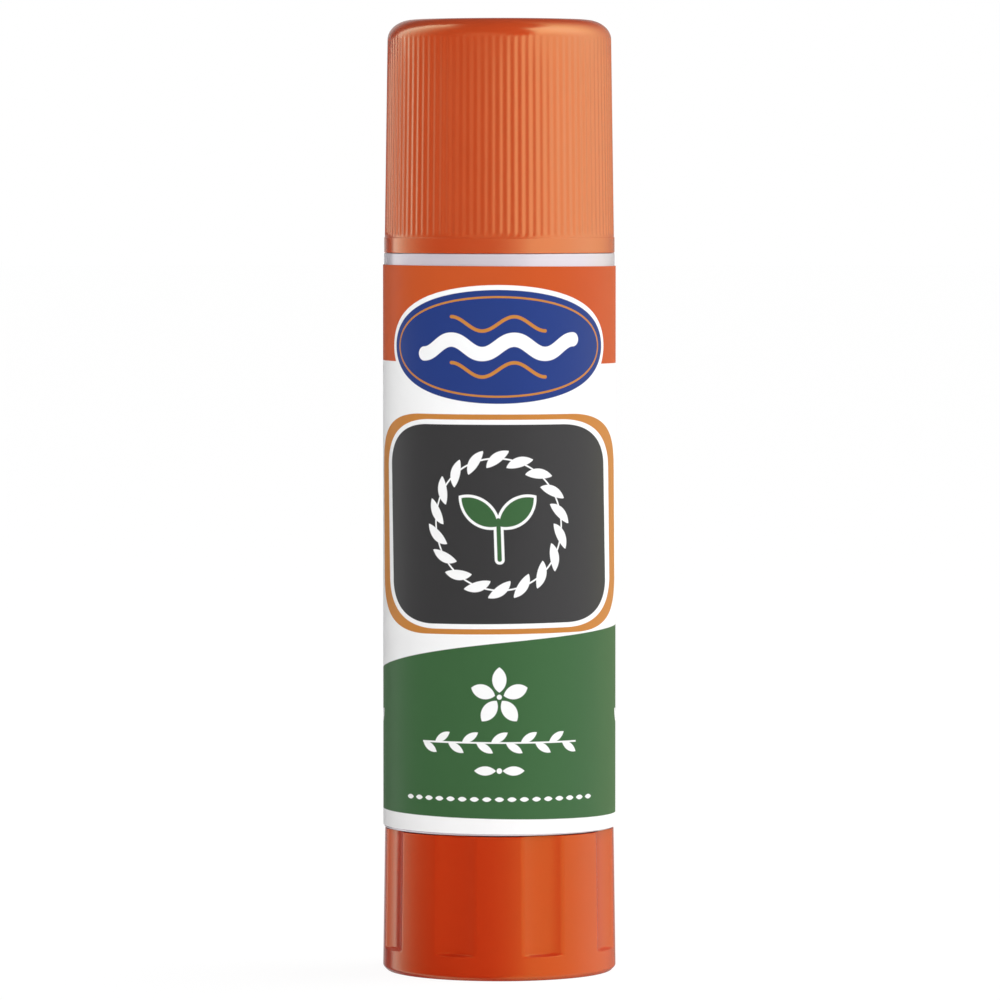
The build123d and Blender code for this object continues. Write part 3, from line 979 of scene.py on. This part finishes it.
vine_z = film_z - VINE_Z
upper = leaf(*turned_by(round_x.fold(VINE_STEP), vine_z - 0.44, 32), 0.86, 0.33)
shifted_x = round_x - VINE_STEP / 2
lower = leaf(*turned_by(shifted_x.fold(VINE_STEP), vine_z + 0.44, -32), 0.86, 0.33)
stem = abs(vine_z) - 0.07
vine = upper.high(abs(round_x) - 6.5).low(lower).low(stem).high(abs(round_x) - 7.25)

bow_z = film_z - BOW_Z
bow = leaf(abs(round_x) - 1.25, bow_z, 0.95, 0.4).low(length(round_x, bow_z) - 0.24)
seeds = leaf(round_x.fold(SEED_STEP), film_z - SEEDS_Z, 0.4, 0.2).high(abs(round_x) - 9.35)

back_x = round_film.fold(BACK_ROW_STEP) * film_radius_mm
back_row = sprout(back_x, film_z - BACK_ROW_Z, 0.95)
back_row = back_row.high(BACK_ROW_START * film_radius_mm - abs(round_x))

print_layers = [
    (BAND_FOOT_Z - side * 0.125 - film_z, ORANGE_INK),
    (badge - 0.42, FILM_WHITE),
    (badge, BLUE_INK),
    (abs(badge + 0.62) - 0.09, KEYLINE_INK),
    (thread_over.low(thread_under), KEYLINE_INK),
    (bead, FILM_WHITE),
    (green, GREEN_INK),
    (frame_line, KEYLINE_INK),
    (panel, CHARCOAL_INK),
    (wreath, FILM_WHITE),
    (shoot - 0.24, FILM_WHITE),
    (shoot, GREEN_INK),
    (posy.low(vine).low(bow).low(seeds).low(back_row), FILM_WHITE),
]
print_colour = FILM_WHITE
for shape, ink in print_layers:
    print_colour = inside(shape).over(ink, print_colour)
print("inks laid one over another:", len(print_layers))

ink_cloud = film_place.noise(0.4, 3.0)
ink_speck = film_place.noise(7.0, 2.0)
feed(film_shader.inputs["Base Color"], print_colour * (0.965 + ink_cloud * 0.04 + ink_speck * 0.02))
feed(film_shader.inputs["Roughness"], 0.41 + ink_cloud * 0.05 + ink_speck * 0.03)
feed(film_shader.inputs["IOR"], 1.2)
film_waves = film_place.noise(0.22, 1.0) * 0.03 + film_place.noise(5.0, 2.0) * 0.001
feed(film_shader.inputs["Normal"], skin_bump(film_waves))

# %% [markdown]
# ## Each piece on its body
#
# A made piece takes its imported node's place and moves with the same body. The spindle and the
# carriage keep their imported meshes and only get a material.

# %% Pieces, bodies and slots
pieces = [
    (cap, "cap", "cap", "cap_plastic", cap_plastic),
    (knob, "knob", "knob", "knob_plastic", knob_plastic),
    (webs, "knob", None, "knob_plastic", knob_plastic),
    (barrel, "barrel", "barrel", "barrel_plastic", barrel_plastic),
    (label, "barrel", "label", "label_film", label_film),
    (glue, "carriage", "glue", "glue_stick", glue_cast),
    (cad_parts["spindle"], None, None, "spindle_plastic", screw_plastic),
    (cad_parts["carriage"], None, None, "carriage_plastic", carriage_plastic),
]
for piece, body, node, slot, finish in pieces:
    piece.data.materials.clear()
    piece.data.materials.append(finish)
    if body:
        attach(piece, body)
    if node:
        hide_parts(node)

# %% [markdown]
# ## Studio
#
# The photograph was taken on white between two large soft lights. Their reflections show how
# they stand. One on the right begins about 28 degrees from the camera's side and goes on past
# the stick. One on the left is brightest behind, about 125 degrees round, and fades towards the
# front. Between them the front is nearly dark. These panels live in the world's light as smooth
# steps of the direction's angle.
#
# The shade tells another story. The label, which hardly reflects, is evenly bright over most of
# the front and only falls off at the left edge, so its light comes from the front and the right.
# One room couldn't give both, because a panel bright enough for the cap's gloss would light the
# label's sides as well. Mirrored rays therefore see the panels, and all others see a soft light
# from the right. The gloss at the right edge is warm in the photograph, so the light is warmer
# there. The camera itself sees plain white.

# %% World
room = bpy.data.worlds.new("studio")
bpy.context.scene.world = room
room.use_nodes = True
sky = room.node_tree.nodes["Background"]
ray = Wire(room.node_tree.nodes.new("ShaderNodeTexCoord").outputs["Generated"])
ray_x, ray_y, ray_z = ray.axes()
azimuth = ray_x.math("ARCTAN2", ray_x, ray_y * -1) * (180 / math.pi)
RIGHT_PANEL = 2.4
LEFT_PANEL = 2.3
ROOM_GREY = 0.08
BACKDROP = 0.28
SIDE_LIGHT = 2.85
ROOM_SHADE = 0.06
FAR_RIGHT_TINT = (1.0, 0.97, 0.68)
RIGHT_START, RIGHT_END = (26, 31), (170, 88)
LEFT_START, LEFT_SPAN, LEFT_END = -60, 70, (-135, -131)
SIDE_START, SIDE_END = (40, 90), (175, 120)
WARM_START, WARM_END = (85, 125), (180, 150)

below_ceiling = ray_z.ramp(0.94, 0.86)
panel_height = below_ceiling * ray_z.ramp(0.2, 0.75, 1.0, 1.5)
right_edge = (azimuth - ray_z * 20).ramp(*RIGHT_START)
right_glow = ((azimuth + 20) / 52).clip() ** 2.2 * ray_z.ramp(0.3, 0.08)
right_panel = right_edge.high(right_glow) * azimuth.ramp(*RIGHT_END)
left_panel = ((LEFT_START - azimuth) / LEFT_SPAN).clip() ** 1.8 * azimuth.ramp(*LEFT_END)
backdrop = azimuth.ramp(140, 162) + azimuth.ramp(-148, -162) * 1.7
backdrop = backdrop * ray_z.ramp(0.5, 0.2)
mirrored = (right_panel * RIGHT_PANEL + left_panel * LEFT_PANEL) * panel_height
mirrored = mirrored + backdrop * BACKDROP + ROOM_GREY
side_light = azimuth.ramp(*SIDE_START) * azimuth.ramp(*SIDE_END) * below_ceiling
side_light = side_light * SIDE_LIGHT + ROOM_SHADE
path_info = ray.node("ShaderNodeLightPath", {}).socket.node.outputs
is_camera, is_glossy = Wire(path_info["Is Camera Ray"]), Wire(path_info["Is Glossy Ray"])
room_light = side_light + is_glossy * (mirrored - side_light)
far_right = azimuth.ramp(*WARM_START) * azimuth.ramp(*WARM_END)
room_colour = (is_glossy * far_right).over(FAR_RIGHT_TINT, WHITE) * room_light
feed(sky.inputs["Color"], is_camera.over(WHITE, room_colour))
feed(sky.inputs["Strength"], 1.0)
print("room: panels", RIGHT_PANEL, "and", LEFT_PANEL, "as mirrored, side light", SIDE_LIGHT)

# %% [markdown]
# The floor is a large white sheet. For the camera it glows almost white by itself and adds a
# little of its own shade, so the stick's shadow stays as a faint darkening at its foot. The
# light that bounces off it reaches the lower sides of the stick.

# %% Floor
FLOOR_SIZE = 12
FLOOR_GLOW = 1.06
FLOOR_GLOW_SHARE = 0.88

bpy.ops.mesh.primitive_plane_add(size=FLOOR_SIZE, location=(0, 0, 0))
floor = bpy.context.object
floor.name = "floor"
floor_paper, floor_shader, floor_place = material("floor_paper")
floor_grain = floor_place.noise(0.02, 2.0)
feed(floor_shader.inputs["Base Color"], (0.88 + floor_grain * 0.04) * WHITE)
feed(floor_shader.inputs["Roughness"], 0.9 + floor_grain * 0.05)
feed(floor_shader.inputs["Specular IOR Level"], 0.0)
floor_path = floor_place.node("ShaderNodeLightPath", {}).socket.node.outputs
floor_camera = Wire(floor_path["Is Camera Ray"])
glow = floor_camera.node("ShaderNodeEmission", {"Color": WHITE, "Strength": FLOOR_GLOW})
shade = Wire(floor_shader.outputs["BSDF"])
sheet = glow.node("ShaderNodeMixShader", {0: floor_camera * FLOOR_GLOW_SHARE, 1: shade, 2: glow})
feed(floor_paper.node_tree.nodes["Material Output"].inputs["Surface"], sheet)
floor.data.materials.append(floor_paper)
floor.visible_glossy = False

# %% [markdown]
# A soft fill from the camera's side gives the front its colour. It is left out of the
# reflections, because the photograph shows none in front.

# %% Fill
FILL_WATTS = 4.9
FILL_PLACE = (-0.2, -0.73, 0.33)
FILL_SIZE = (0.7, 0.5)


def softbox(name, place, target, width, height, watts):
    """An area lamp at a place, turned towards a target."""
    lamp = bpy.data.lights.new(name, "AREA")
    lamp.shape, lamp.size, lamp.size_y, lamp.energy = "RECTANGLE", width, height, watts
    made = bpy.data.objects.new(name, lamp)
    made.location = place
    made.rotation_euler = (Vector(target) - Vector(place)).to_track_quat("-Z", "Y").to_euler()
    bpy.context.scene.collection.objects.link(made)
    return made


fill = softbox("front_fill", FILL_PLACE, (0, 0, cap_top_z / 2), *FILL_SIZE, FILL_WATTS)
fill.visible_glossy = False
fill.visible_camera = False

# %% [markdown]
# ## Camera
#
# The camera stands 606 mm in front of the stick and looks down by two and a half degrees. The
# curves of the rims and bands gave both: they bend more the farther they lie below the lens.

# %% Camera
CAMERA_PLACE = (0.000057, -0.606, 0.06867)
CAMERA_AIM = (0.000057, 0, 0.04163)
CAMERA_LENS = 246.85
eye = bpy.data.cameras.new("camera")
eye.lens, eye.sensor_width = CAMERA_LENS, 36
camera = bpy.data.objects.new("camera", eye)
camera.location = CAMERA_PLACE
camera.rotation_euler = (Vector(CAMERA_AIM) - Vector(CAMERA_PLACE)).to_track_quat("-Z", "Y").to_euler()
bpy.context.scene.collection.objects.link(camera)
bpy.context.scene.camera = camera
bpy.context.scene.view_settings.view_transform = "Standard"
